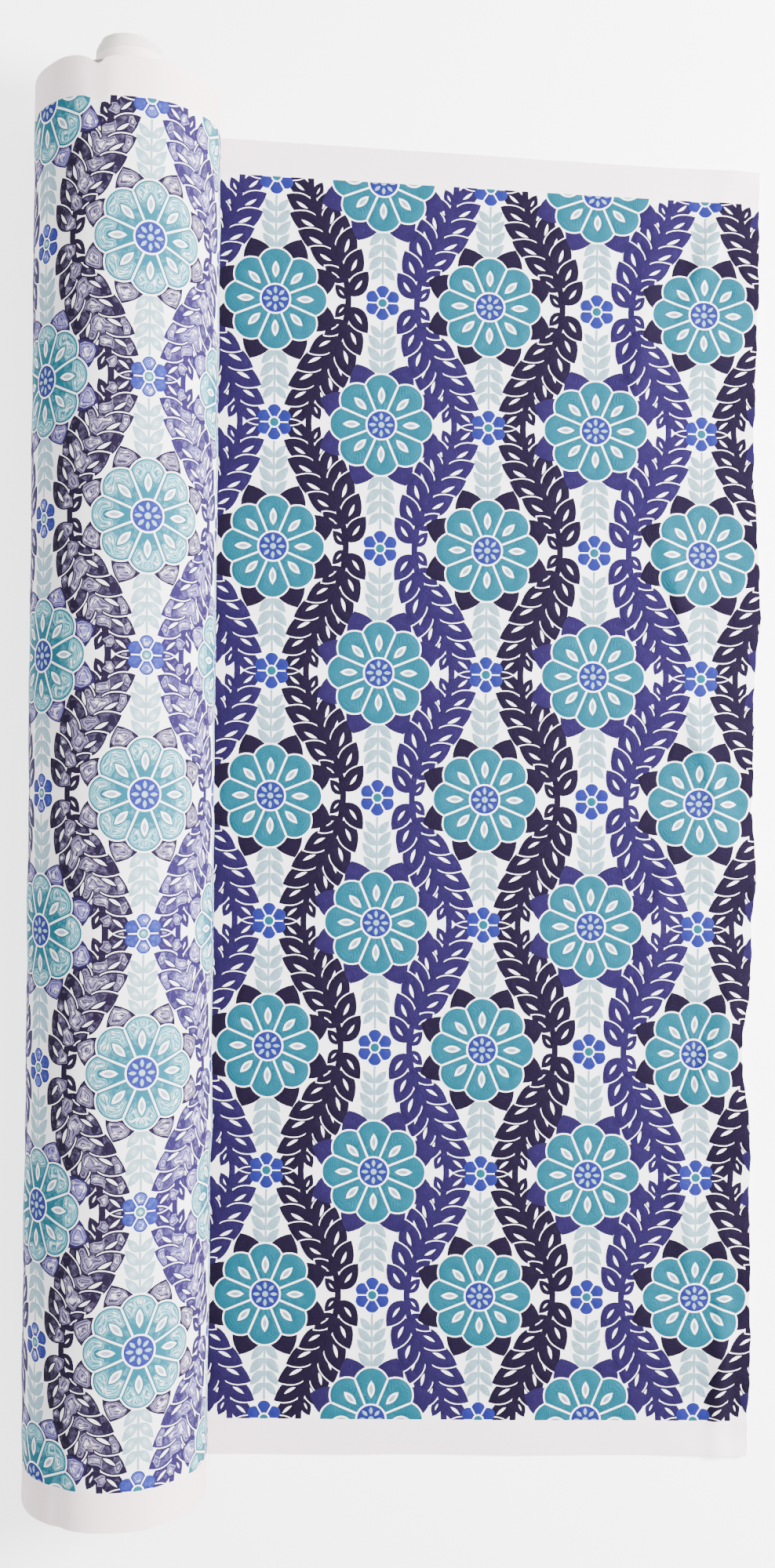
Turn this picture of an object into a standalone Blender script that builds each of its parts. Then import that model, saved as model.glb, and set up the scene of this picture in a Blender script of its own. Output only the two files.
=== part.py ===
"""Fabric bolt: a roll of embroidered furnishing cotton wound on a cardboard
tube, lying on its side, with its free end drawn out flat from underneath.

Frame: metres, +Z up.  The roll's axis runs along Y.  The origin is the centre
of the narrow strip on which the roll rests, where the free end leaves it, so
the free end lies along +X on the plane z = 0.
"""
import math

import bmesh
import bpy
from mathutils import Vector

# ---------------------------------------------------------------- dimensions
CLOTH_WIDTH = 1.372        # selvedge to selvedge, a 54 inch cloth
CLOTH_THICKNESS = 0.0015   # base cloth with its raised stitching
ROLL_RADIUS = 0.090        # outside of the wound cloth
REST_HALF_WIDTH = 0.020    # half width of the strip flattened by the weight
TAIL_LENGTH = 0.641        # free end, from under the roll's axis to the cut

TUBE_BORE_RADIUS = 0.020   # cardboard tube
TUBE_RADIUS = 0.025
TUBE_LENGTH = 1.372
CORE_SHIFT = 0.049         # how far the core has slipped out along +Y

INNER_TURNS_IN = 0.0260    # first turns, which slipped out with the tube
INNER_TURNS_OUT = 0.0340
GROUP_RADII = (0.0343, 0.0507, 0.0510, 0.0677, 0.0680, 0.0837, 0.0840)

TAPE_IN = 0.0253           # tape that holds the cloth's first edge
TAPE_OUT = 0.0257
TAPE_LENGTH = 0.070
TAPE_ANGLE = math.radians(55.0)
TAPE_Y = (-0.560, 0.0, 0.560)

TAIL_PANELS = 8            # hinged panels of the free end
CURL_STEP = math.radians(40.0)   # fold of each hinge when curled right up
SKEW_TOP = 0.037           # how far the cut end's +Y corner is drawn in
SKEW_BOTTOM = 0.013        # and its -Y corner

GAP = 0.0003               # clearance between neighbouring pieces
SEGMENTS = 72              # around each ring

AXIS_Z = math.sqrt(ROLL_RADIUS ** 2 - REST_HALF_WIDTH ** 2)


# ------------------------------------------------------- the tail's hinges
def curl_radius():
    """Clear radius, about the roll's axis, of the curled-up free end.

    Every panel is tangent to this circle when all hinges are folded by
    CURL_STEP, and the length of the free end fixes its size.
    """
    half = math.tan(CURL_STEP / 2)
    s, c = math.sin(CURL_STEP), math.cos(CURL_STEP)
    drop = AXIS_Z - CLOTH_THICKNESS
    low, high = ROLL_RADIUS, 2 * ROLL_RADIUS
    for _ in range(60):
        r = 0.5 * (low + high)
        first = (r - drop * c) / s
        end_panel = drop * s - first * c + r * half
        total = first + 2 * end_panel + (TAIL_PANELS - 2) * 2 * r * half
        if total > TAIL_LENGTH:
            high = r
        else:
            low = r
    return 0.5 * (low + high)


def hinge_positions():
    """x of each hinge line, and of the cut end."""
    r = curl_radius()
    half = math.tan(CURL_STEP / 2)
    s, c = math.sin(CURL_STEP), math.cos(CURL_STEP)
    drop = AXIS_Z - CLOTH_THICKNESS
    first = (r - drop * c) / s
    end_panel = drop * s - first * c + r * half
    xs = [first, first + end_panel]
    for _ in range(TAIL_PANELS - 2):
        xs.append(xs[-1] + 2 * r * half)
    xs.append(TAIL_LENGTH)
    return xs


def edge_top(x):
    return CLOTH_WIDTH / 2 - SKEW_TOP * max(0.0, x) / TAIL_LENGTH


def edge_bottom(x):
    return -CLOTH_WIDTH / 2 + SKEW_BOTTOM * max(0.0, x) / TAIL_LENGTH


# ------------------------------------------------------------- mesh helpers
def prism(name, cells, y_low, y_high, parent, material, smooth=True, place=None):
    """One closed solid from flat cells in the XZ plane, drawn out along Y.

    cells are lists of (x, z) corners that share corners with each other.
    """
    bm = bmesh.new()
    corner = {}

    def vert(x, z, end):
        key = (round(x, 7), round(z, 7), end)
        if key not in corner:
            y = (y_low(x), y_high(x))[end]
            corner[key] = bm.verts.new((x, y, z))
        return corner[key]

    sides = {}
    for cell in cells:
        bm.faces.new([vert(x, z, 0) for x, z in cell])
        bm.faces.new([vert(x, z, 1) for x, z in reversed(cell)])
        for a, b in zip(cell, cell[1:] + cell[:1]):
            ka = (round(a[0], 7), round(a[1], 7))
            kb = (round(b[0], 7), round(b[1], 7))
            if (kb, ka) in sides:
                del sides[(kb, ka)]
            else:
                sides[(ka, kb)] = (a, b)
    for a, b in sides.values():
        bm.faces.new([vert(*b, 0), vert(*a, 0), vert(*a, 1), vert(*b, 1)])
    bmesh.ops.recalc_face_normals(bm, faces=bm.faces)
    mesh = bpy.data.meshes.new(name)
    bm.to_mesh(mesh)
    bm.free()
    if smooth:
        mesh.shade_smooth()
        mesh.set_sharp_from_angle(angle=math.radians(35))
    obj = bpy.data.objects.new(name, mesh)
    bpy.context.scene.collection.objects.link(obj)
    mesh.materials.append(material)
    if place is None:
        place = parent.location
    for v in mesh.vertices:
        v.co -= place
    obj.parent = parent
    return obj


def empty(name, x, y, z):
    obj = bpy.data.objects.new(name, None)
    obj.empty_display_size = 0.05
    obj.location = (x, y, z)
    bpy.context.scene.collection.objects.link(obj)
    return obj


def material(name, colour, roughness, metallic=0.0):
    mat = bpy.data.materials.new(name)
    mat.use_nodes = True
    bsdf = mat.node_tree.nodes["Principled BSDF"]
    bsdf.inputs["Base Color"].default_value = (*colour, 1.0)
    bsdf.inputs["Roughness"].default_value = roughness
    bsdf.inputs["Metallic"].default_value = metallic
    return mat


def ring_point(radius, k, count):
    a = -math.pi / 2 + 2 * math.pi * k / count
    return radius * math.cos(a), AXIS_Z + radius * math.sin(a)


def ring_cells(inner, outer, count=SEGMENTS):
    cells = []
    for k in range(count):
        a, b = ring_point(inner, k, count), ring_point(inner, k + 1, count)
        c, d = ring_point(outer, k + 1, count), ring_point(outer, k, count)
        cells.append([a, d, c, b])
    return cells


def ring(name, inner, outer, y0, y1, parent, mat, count=SEGMENTS):
    return prism(name, ring_cells(inner, outer, count),
                 lambda x: y0, lambda x: y1, parent, mat)


# -------------------------------------------------------------------- build
for old in list(bpy.data.objects):
    bpy.data.objects.remove(old, do_unlink=True)

reverse_cloth = material("cloth_reverse", (0.62, 0.62, 0.72), 0.88)
face_cloth = material("cloth_face", (0.30, 0.36, 0.52), 0.85)
plain_cloth = material("cloth_plain", (0.80, 0.76, 0.76), 0.90)
card = material("cardboard", (0.47, 0.36, 0.25), 0.80)
tape = material("tape", (0.72, 0.62, 0.42), 0.45)

HALF = CLOTH_WIDTH / 2
roll = empty("roll", 0.0, 0.0, 0.0)
core = empty("core", 0.0, 0.0, AXIS_Z)
core.parent = roll

# the outermost turn, flattened where it rests, which runs on as the root of
# the free end as far as its first fold line
xs = hinge_positions()
lip_angle = math.acos((AXIS_Z - CLOTH_THICKNESS) / ROLL_RADIUS)
flat_angle = math.acos(AXIS_Z / ROLL_RADIUS)
angles = [flat_angle * k / 3 for k in range(-3, 4)] + [lip_angle]
rest = 2 * math.pi - lip_angle - flat_angle
for k in range(1, SEGMENTS - 4):
    angles.append(lip_angle + rest * k / (SEGMENTS - 4))


def outer_point(angle):
    """Angle is counted from straight down, towards +X."""
    if abs(angle) <= flat_angle + 1e-9:
        return AXIS_Z * math.tan(angle), 0.0
    return ROLL_RADIUS * math.sin(angle), AXIS_Z - ROLL_RADIUS * math.cos(angle)


def inner_point(angle):
    r = GROUP_RADII[6]
    return r * math.sin(angle), AXIS_Z - r * math.cos(angle)


cells = []
for a, b in zip(angles, angles[1:] + [angles[0] + 2 * math.pi]):
    cells.append([inner_point(a), outer_point(a), outer_point(b), inner_point(b)])
lip, heel = outer_point(lip_angle), outer_point(flat_angle)
toe = xs[0] - GAP / 2
cells.append([heel, (toe, 0.0), (toe, CLOTH_THICKNESS), lip])
prism("outer_turn_and_tail_root", cells, edge_bottom, edge_top, roll, reverse_cloth)

ring("wound_turns_outer", GROUP_RADII[4], GROUP_RADII[5], -HALF, HALF, roll, plain_cloth)
ring("wound_turns_middle", GROUP_RADII[2], GROUP_RADII[3], -HALF, HALF, roll, plain_cloth)
ring("wound_turns_inner", GROUP_RADII[0], GROUP_RADII[1], -HALF, HALF, roll, plain_cloth)

# the core: the first turns, the tape that starts them, and the tube
ring("telescoped_inner_turns", INNER_TURNS_IN, INNER_TURNS_OUT,
     -HALF + CORE_SHIFT, HALF + CORE_SHIFT, core, plain_cloth, 60)
ring("cardboard_tube", TUBE_BORE_RADIUS, TUBE_RADIUS,
     -TUBE_LENGTH / 2 + CORE_SHIFT - 0.002, TUBE_LENGTH / 2 + CORE_SHIFT - 0.004,
     core, card, 60)
for number, y in enumerate(TAPE_Y, 1):
    cells = []
    steps = 10
    for k in range(steps):
        a = math.pi / 2 + TAPE_ANGLE * (k / steps - 0.5)
        b = math.pi / 2 + TAPE_ANGLE * ((k + 1) / steps - 0.5)
        cells.append([(TAPE_IN * math.cos(a), AXIS_Z + TAPE_IN * math.sin(a)),
                      (TAPE_OUT * math.cos(a), AXIS_Z + TAPE_OUT * math.sin(a)),
                      (TAPE_OUT * math.cos(b), AXIS_Z + TAPE_OUT * math.sin(b)),
                      (TAPE_IN * math.cos(b), AXIS_Z + TAPE_IN * math.sin(b))])
    low, high = y + CORE_SHIFT - TAPE_LENGTH / 2, y + CORE_SHIFT + TAPE_LENGTH / 2
    prism("start_tape_%d" % number, cells, lambda x, v=low: v, lambda x, v=high: v,
          core, tape)

# the free end: panels that fold upwards about lines along their top surface
parent, parent_x, parent_z = roll, 0.0, 0.0
for number in range(1, TAIL_PANELS + 1):
    x0, x1 = xs[number - 1], xs[number]
    hinge = empty("tail_%02d" % number, x0 - parent_x, 0.0, CLOTH_THICKNESS - parent_z)
    hinge.parent = parent
    left = x0 + GAP / 2
    right = x1 - (GAP / 2 if number < TAIL_PANELS else 0.0)
    prism("tail_panel_%02d" % number,
          [[(left, 0.0), (right, 0.0), (right, CLOTH_THICKNESS), (left, CLOTH_THICKNESS)]],
          edge_bottom, edge_top, hinge, face_cloth, smooth=False,
          place=Vector((x0, 0.0, CLOTH_THICKNESS)))
    parent, parent_x, parent_z = hinge, x0, CLOTH_THICKNESS
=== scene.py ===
import math

import bpy
import numpy as np
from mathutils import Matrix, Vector
from mathutils.geometry import delaunay_2d_cdt


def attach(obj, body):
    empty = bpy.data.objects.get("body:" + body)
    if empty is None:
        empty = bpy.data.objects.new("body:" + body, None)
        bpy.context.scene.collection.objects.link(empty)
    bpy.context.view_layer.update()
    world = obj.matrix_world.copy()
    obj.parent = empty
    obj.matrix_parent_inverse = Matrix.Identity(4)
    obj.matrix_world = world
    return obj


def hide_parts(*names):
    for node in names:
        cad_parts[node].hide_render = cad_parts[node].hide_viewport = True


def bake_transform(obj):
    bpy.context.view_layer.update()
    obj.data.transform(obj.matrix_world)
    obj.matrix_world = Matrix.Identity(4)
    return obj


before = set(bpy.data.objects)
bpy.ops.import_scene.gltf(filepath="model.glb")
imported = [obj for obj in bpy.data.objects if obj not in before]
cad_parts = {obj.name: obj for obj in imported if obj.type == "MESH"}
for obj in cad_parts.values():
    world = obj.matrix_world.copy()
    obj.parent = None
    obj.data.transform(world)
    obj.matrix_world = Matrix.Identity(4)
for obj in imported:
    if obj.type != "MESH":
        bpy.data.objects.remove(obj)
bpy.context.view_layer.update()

# Lengths are in metres in the frame; the flat cloth is worked in millimetres.
R = 0.090                      # outside of the wound cloth
AXIS = 0.0877496               # height of the roll's axis
HALF = 0.686                   # half the cloth's width
TAIL = 0.641                   # free end, from under the axis to the cut
CORE_SHIFT = 0.049

# ---------------------------------------------------------------- the pattern
# A plain floral repeat of textbook forms, in millimetres on the flat cloth:
# even eight-petalled rosettes in half-drop columns, wavy leafy stems between
# the columns, a small rosette half-way between two flowers, and a sprig.
GROUND, TEAL, NAVY, INDIGO, ROYAL, AQUA, GREY = range(7)
STEM_A, STEM_B = 7, 8         # stems of even and odd columns
COLUMN = 111.2                 # from one column of flowers to the next
ROW = 259.6                    # from one flower to the next in a column


def heading(angle):
    return np.array([math.cos(angle), math.sin(angle)])


def disc(centre, radius, n=28):
    a = np.linspace(0, 2 * math.pi, n, endpoint=False)
    return np.stack([centre[0] + radius * np.cos(a), centre[1] + radius * np.sin(a)], 1)


def almond(base, angle, length, width, bend=0.0, step=3.6, full=0.9):
    """A pointed leaf from its base, with a gentle bend."""
    d = heading(angle)
    nrm = np.array([-d[1], d[0]])
    n = max(5, int(round(length / step)))
    left, right = [], []
    for i in range(n + 1):
        t = i / n
        w = width / 2 * math.sin(math.pi * t ** full) ** 0.85 if 0 < i < n else 0.0
        c = np.array(base) + d * length * t + nrm * bend * length * t * t
        left.append(c + nrm * w)
        right.append(c - nrm * w)
    return np.array(left + right[::-1][1:-1])


def ribbon(path, half):
    """The outline of a line, half-width half(t) with t from 0 to 1."""
    s = np.concatenate([[0], np.cumsum(np.linalg.norm(np.diff(path, axis=0), axis=1))])
    d = np.gradient(path, axis=0)
    d /= np.linalg.norm(d, axis=1)[:, None]
    nrm = np.stack([-d[:, 1], d[:, 0]], 1)
    h = np.array([half(x) for x in s / s[-1]])[:, None]
    return np.concatenate([path + nrm * h, (path - nrm * h)[::-1]])


def round_petal(centre, angle, reach, width, start, step=2.0):
    """A spoon-shaped petal: narrow at the centre, round at its far end."""
    d = heading(angle)
    nrm = np.array([-d[1], d[0]])
    edge = []
    n = max(8, int(round((reach - start) / step)))
    far = reach - width / 2
    for i in range(n + 1):
        s = start + (far - start) * i / n
        t = (s - start) / (far - start)
        edge.append((s, width / 2 * (0.34 + 0.66 * math.sin(0.5 * math.pi * t) ** 1.3)))
    m = max(7, int(math.pi * width / 4 / step))
    for i in range(1, m + 1):
        a = 0.5 * math.pi * i / m
        edge.append((far + width / 2 * math.sin(a), width / 2 * math.cos(a)))
    up = [np.array(centre) + d * s + nrm * w for s, w in edge]
    down = [np.array(centre) + d * s - nrm * w for s, w in edge]
    return np.array(up + down[::-1][1:])


def rosette(centre):
    """The large flower: eight even petals about a ringed centre."""
    out = []
    petals = 8
    for k in range(petals):
        a = 2 * math.pi * (k + 0.5) / petals
        out.append((NAVY, almond(np.array(centre) + heading(a) * 26, a, 43, 31, 0, 4.0, 1.0)))
    for k in range(petals):
        a = 2 * math.pi * k / petals
        out.append((GROUND, round_petal(centre, a, 54.6, 38.2, 9.0, 4.2)))
    for k in range(petals):
        a = 2 * math.pi * k / petals
        out.append((TEAL, round_petal(centre, a, 53.0, 35.2, 8.0, 3.6)))
    for k in range(petals):
        a = 2 * math.pi * k / petals
        b = 2 * math.pi * (k + 0.5) / petals
        out.append((GROUND, ribbon(np.array([np.array(centre) + heading(b) * r for r in np.linspace(13, 44, 6)]),
                                   lambda t: 1.0)))
        out.append((GROUND, almond(np.array(centre) + heading(a) * 22.0, a, 18, 7.4, 0, 2.8, 1.0)))
        out.append((GREY, almond(np.array(centre) + heading(a) * 25.6, a, 10.6, 3.6, 0, 2.6, 1.0)))
    out.append((GROUND, disc(centre, 16.3, 32)))
    out.append((ROYAL, disc(centre, 14.6, 32)))
    for k in range(petals):
        a = 2 * math.pi * k / petals
        out.append((AQUA, almond(np.array(centre) + heading(a) * 5.2, a, 7.6, 3.6, 0, 2.4, 1.0)))
    out.append((AQUA, disc(centre, 3.2, 8)))
    return out


def small_rosette(centre, label):
    out = []
    for k in range(6):
        a = 2 * math.pi * k / 6 + math.pi / 6
        out.append((label, round_petal(centre, a, 18.8, 14.2, 3.0, 3.0)))
    for k in range(6):
        a = 2 * math.pi * (k + 0.5) / 6 + math.pi / 6
        out.append((GROUND, ribbon(np.array([np.array(centre) + heading(a) * r for r in np.linspace(5, 14.5, 3)]),
                                   lambda t: 0.62)))
    out.append((GROUND, disc(centre, 6.0, 16)))
    out.append((TEAL, disc(centre, 4.6, 12)))
    return out


def stem_x(y, swing=20.0):
    return COLUMN / 2 + swing * math.cos(2 * math.pi * y / ROW)


def leafy_stem(label):
    """The wavy stem between columns 0 and 1, for y from -ROW/2 to ROW/2."""
    out = []
    count = 7
    for i in reversed(range(count)):
        # a leaf towards column 0's flower, on the left, and one towards column 1's
        left = (20, 27, 36, 40, 40, 37, 34)[i]
        right = (34, 37, 40, 40, 36, 27, 20)[i]
        for side, y, length in ((1, 3 + 18.1 * i, left), (-1, 3 + 18.1 * i + (3.0 if i < 3 else -3.0), right)):
            along = math.atan2(1, stem_x(y + 0.5) - stem_x(y - 0.5))
            a = along + side * 0.86
            base = np.array([stem_x(y), y])
            width, bend = 0.585 * length, -side * 0.14
            shapes = [(GROUND, almond(base - heading(a) * 1.0, a, length + 2.3, width + 1.9, bend)),
                      (label, almond(base, a, length, width, bend)),
                      (GROUND, almond(base + heading(a) * length * 0.29, a - side * 0.04, length * 0.37,
                                      width * 0.15, bend, 3.2, 1.0))]
            for which, poly in shapes:
                out.append((which, poly))
                out.append((which, poly * (1, -1)))
    ys = np.linspace(-ROW / 2 - 6, ROW / 2 + 6, 46)
    path = np.array([[stem_x(y), y] for y in ys])
    out.append((label, ribbon(path, lambda t: 3.2)))
    return out


def sprig():
    """The pale sprig between a flower and the small rosette above it."""
    out = []
    path = np.array([[0.0, y] for y in np.linspace(53, 110, 12)])
    out.append((AQUA, ribbon(path, lambda t: 1.1)))
    for y, length, width in ((55, 19.5, 9.2), (67.5, 21.5, 10), (80.5, 20.5, 9.6), (93, 17.5, 8.6)):
        for side in (1, -1):
            out.append((AQUA, almond((0, y), math.pi / 2 + side * 0.98, length, width, -side * 0.2, 3.2)))
    return out


def repeat_shapes():
    """Every shape of one repeat, 2 COLUMN wide and ROW high, with the copies that reach into it.

    Each is (label, outline), in painting order."""
    shapes = []

    def put(items, dx, dy, flip_x=False, swap=None):
        for label, poly in items:
            p = np.array(poly, float)
            if flip_x:
                p = p * (-1, 1)
            p = p + (dx, dy)
            if swap and label in swap:
                label = swap[label]
            shapes.append((label, p))

    columns = (-1, 0, 1, 2, 3)
    for j in (-1, 0, 1):
        for i in columns:
            # the stem to the right of column i; it mirrors from one column to the next
            label = STEM_A if i % 2 == 0 else STEM_B
            if i % 2 == 0:
                put(leafy_stem(label), COLUMN * i, ROW * j)
            else:
                put(leafy_stem(label), COLUMN * (i + 1), ROW * j, True)
    for j in (-2, -1, 0, 1, 2):
        for i in columns:
            y = ROW * (j if i % 2 == 0 else j + 0.5)
            put(sprig(), COLUMN * i, y)
            put([(a, p * (1, -1)) for a, p in sprig()], COLUMN * i, y)
            put(small_rosette((0, ROW / 2), ROYAL), COLUMN * i, y)
            put(rosette((0, 0)), COLUMN * i, y, False, {NAVY: INDIGO} if i % 2 else None)
    return shapes


# ------------------------------------------------- the flat cloth as a mesh
PRINT_EDGE = 5 * ROW / 2       # where the stitched pattern stops, each side
MARGIN = HALF * 1000 - PRINT_EDGE


def inside(points, poly):
    """Which points lie in a closed outline."""
    low, high = poly.min(0), poly.max(0)
    hit = np.zeros(len(points), bool)
    near = np.nonzero(((points > low) & (points < high)).all(1))[0]
    if len(near):
        x, y = points[near, 0][:, None], points[near, 1][:, None]
        x0, y0 = poly[:, 0], poly[:, 1]
        x1, y1 = np.roll(poly, -1, 0).T
        rise = np.where(y1 == y0, 1e-12, y1 - y0)
        cross = ((y0 > y) != (y1 > y)) & (x < (x1 - x0) * (y - y0) / rise + x0)
        hit[near] = cross.sum(1) % 2 == 1
    return hit


def painted(points, shapes):
    label = np.zeros(len(points), int)
    for which, poly in shapes:
        label[inside(points, poly)] = which
    return label


def triangulate(points, edges):
    v, _, f, *_ = delaunay_2d_cdt([Vector((float(a), float(b))) for a, b in points], edges, [], 0, 1e-4)
    verts = np.array([(p[0], p[1]) for p in v])
    tris = np.array([t[:3] for t in f if len(t) == 3])
    a, b, c = verts[tris[:, 0]], verts[tris[:, 1]], verts[tris[:, 2]]
    area = (b[:, 0] - a[:, 0]) * (c[:, 1] - a[:, 1]) - (b[:, 1] - a[:, 1]) * (c[:, 0] - a[:, 0])
    tris = tris[np.abs(area) > 1e-6]
    area = area[np.abs(area) > 1e-6]
    tris[area < 0] = tris[area < 0][:, ::-1]
    return verts, tris


def distance(points, a, b, reach=1e9):
    """From each point to the nearest of the segments a-b."""
    out = np.full(len(points), reach)
    d = b - a
    dd = np.maximum((d * d).sum(1), 1e-12)
    for k in range(0, len(points), 400):
        p = points[k:k + 400, None, :]
        t = np.clip(((p - a) * d).sum(2) / dd, 0, 1)
        q = p - (a + t[:, :, None] * d)
        out[k:k + 400] = np.minimum(out[k:k + 400], np.sqrt((q * q).sum(2).min(1)))
    return out


def thinned(points, spacing, taken=()):
    """The points, without those nearer than spacing to one kept already."""
    grid = {}
    kept = []
    for which, group in ((0, taken), (1, points)):
        for p in group:
            cell = (int(math.floor(p[0] / spacing)), int(math.floor(p[1] / spacing)))
            close = False
            if which:
                for i in (-1, 0, 1):
                    for j in (-1, 0, 1):
                        for q in grid.get((cell[0] + i, cell[1] + j), ()):
                            if (q[0] - p[0]) ** 2 + (q[1] - p[1]) ** 2 < spacing ** 2:
                                close = True
            if not close:
                grid.setdefault(cell, []).append(p)
                if which:
                    kept.append(p)
    return kept


def border_line(along, low, high, step):
    """Positions on a border: those the pattern needs, and regular ones between."""
    need = sorted(set([low, high] + [round(float(x), 5) for x in along]))
    kept = [low]
    for x in need[1:-1]:
        if x - kept[-1] > 0.25 and high - x > 0.25:
            kept.append(x)
    kept.append(high)
    out = [kept[0]]
    for a, b in zip(kept, kept[1:]):
        n = max(1, int(round((b - a) / step)))
        out += [a + (b - a) * k / n for k in range(1, n + 1)]
    return out


def repeat_cell():
    """A quarter of the repeat, COLUMN by ROW/2, which mirrors to make the cloth."""
    w, h = COLUMN, ROW / 2
    shapes = [(label, p) for label, p in repeat_shapes()
              if p[:, 0].max() > -1 and p[:, 0].min() < w + 1 and p[:, 1].max() > -1 and p[:, 1].min() < h + 1]
    points = [(0, 0), (w, 0), (w, h), (0, h)]
    edges = [(0, 1), (1, 2), (2, 3), (3, 0)]
    for _, p in shapes:
        n, base = len(p), len(points)
        points += [tuple(q) for q in p]
        edges += [(base + i, base + (i + 1) % n) for i in range(n)]
    verts, tris = triangulate(points, edges)
    mid = verts[tris].mean(1)
    keep = (mid[:, 0] > 0) & (mid[:, 0] < w) & (mid[:, 1] > 0) & (mid[:, 1] < h)
    tris, mid = tris[keep], mid[keep]
    label = painted(mid, shapes)
    owner, seams = {}, []
    for t, tri in enumerate(tris):
        for a, b in ((tri[0], tri[1]), (tri[1], tri[2]), (tri[2], tri[0])):
            if (b, a) in owner:
                if label[owner[(b, a)]] != label[t]:
                    seams.append((a, b))
            owner[(a, b)] = t
    used = sorted(set(i for s in seams for i in s))
    place = {i: k for k, i in enumerate(used)}
    base = verts[used].copy()
    for axis, size in ((0, w), (1, h)):
        base[np.abs(base[:, axis]) < 0.02, axis] = 0.0
        base[np.abs(base[:, axis] - size) < 0.02, axis] = size
    seams = [(place[a], place[b]) for a, b in seams]
    a, b = base[[s[0] for s in seams]], base[[s[1] for s in seams]]
    # the seams beyond the cell's borders, which are its mirror images
    far_a, far_b = [a], [b]
    for axis, size in ((0, w), (1, h)):
        for shift in (0, 2 * size):
            for pair in list(zip(list(far_a), list(far_b))):
                m = [q.copy() for q in pair]
                for q in m:
                    q[:, axis] = shift - q[:, axis]
                near = ((m[0] > -14) & (m[0] < (w + 14, h + 14))).all(1)
                if near.any():
                    far_a.append(m[0][near])
                    far_b.append(m[1][near])
    seg_a, seg_b = np.concatenate(far_a), np.concatenate(far_b)

    lines = {}
    for axis, at, size in ((0, 0.0, h), (0, w, h), (1, 0.0, w), (1, h, w)):
        on = base[np.abs(base[:, axis] - at) < 1e-9][:, 1 - axis]
        lines[(axis, at)] = border_line(on, 0.0, size, 6.0)
    rim = []
    for (axis, at), places in lines.items():
        for s in places:
            rim.append((at, s) if axis == 0 else (s, at))
    rows = []
    for i, j in seams:
        p, q = base[i], base[j]
        d = q - p
        length = math.hypot(*d)
        if length < 1e-6:
            continue
        nrm = np.array([-d[1], d[0]]) / length
        n = max(1, int(round(length / 4.0)))
        for k in range(n):
            c = p + d * (k + 0.5) / n
            rows += [c + nrm * 1.3, c - nrm * 1.3]
    rows = np.array(rows)
    rows = rows[((rows > 0.5) & (rows < (w - 0.5, h - 0.5))).all(1)]
    rows = rows[distance(rows, seg_a, seg_b) > 1.0]
    rows = thinned([tuple(p) for p in rows], 2.7, [tuple(p) for p in rim])
    grid = np.array([(x + (3.7 if k % 2 else 0), y) for k, y in enumerate(np.arange(3, h - 1, 6.4))
                     for x in np.arange(3, w - 2, 7.4)])
    grid = grid[distance(grid, seg_a, seg_b) > 2.6]
    grid = thinned([tuple(p) for p in grid], 2.6, rows + [tuple(p) for p in rim])

    points = [tuple(p) for p in base]
    edges = list(seams)
    index = {(round(p[0], 3), round(p[1], 3)): k for k, p in enumerate(points)}
    for (axis, at), places in lines.items():
        last = None
        for s in places:
            p = (at, s) if axis == 0 else (s, at)
            key = (round(p[0], 3), round(p[1], 3))
            if key not in index:
                index[key] = len(points)
                points.append(p)
            if last is not None:
                edges.append((last, index[key]))
            last = index[key]
    points += rows + grid
    verts, tris = triangulate(points, edges)
    for axis, size in ((0, w), (1, h)):
        verts[np.abs(verts[:, axis]) < 0.01, axis] = 0.0
        verts[np.abs(verts[:, axis] - size) < 0.01, axis] = size
    mid = verts[tris].mean(1)
    keep = ((mid > 0) & (mid < (w, h))).all(1)
    tris, mid = tris[keep], mid[keep]
    label = painted(mid, shapes)
    depth = distance(verts, seg_a, seg_b, 12.0)
    # the plain margin above the pattern
    top = sorted(set(round(float(x), 5) for x in verts[np.abs(verts[:, 1] - h) < 1e-9][:, 0]))
    points = [(x, 0.0) for x in top]
    edges = [(k, k + 1) for k in range(len(top) - 1)]
    cuts = [w * k / 13 for k in range(14)]
    for y in (5.0, 12.0, 20.0, 28.0, 33.5):
        points += [(x, y) for x in cuts]
    base_at = len(points)
    points += [(x, MARGIN) for x in cuts]
    edges += [(base_at + k, base_at + k + 1) for k in range(13)]
    mv, mt = triangulate(points, edges)
    mv[np.abs(mv[:, 1]) < 0.01, 1] = 0.0
    for axis, size in ((0, w), (1, MARGIN)):
        mv[np.abs(mv[:, axis] - size) < 0.01, axis] = size
    mv[np.abs(mv[:, 0]) < 0.01, 0] = 0.0
    return (verts, tris, label, depth), (mv, mt)


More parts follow.
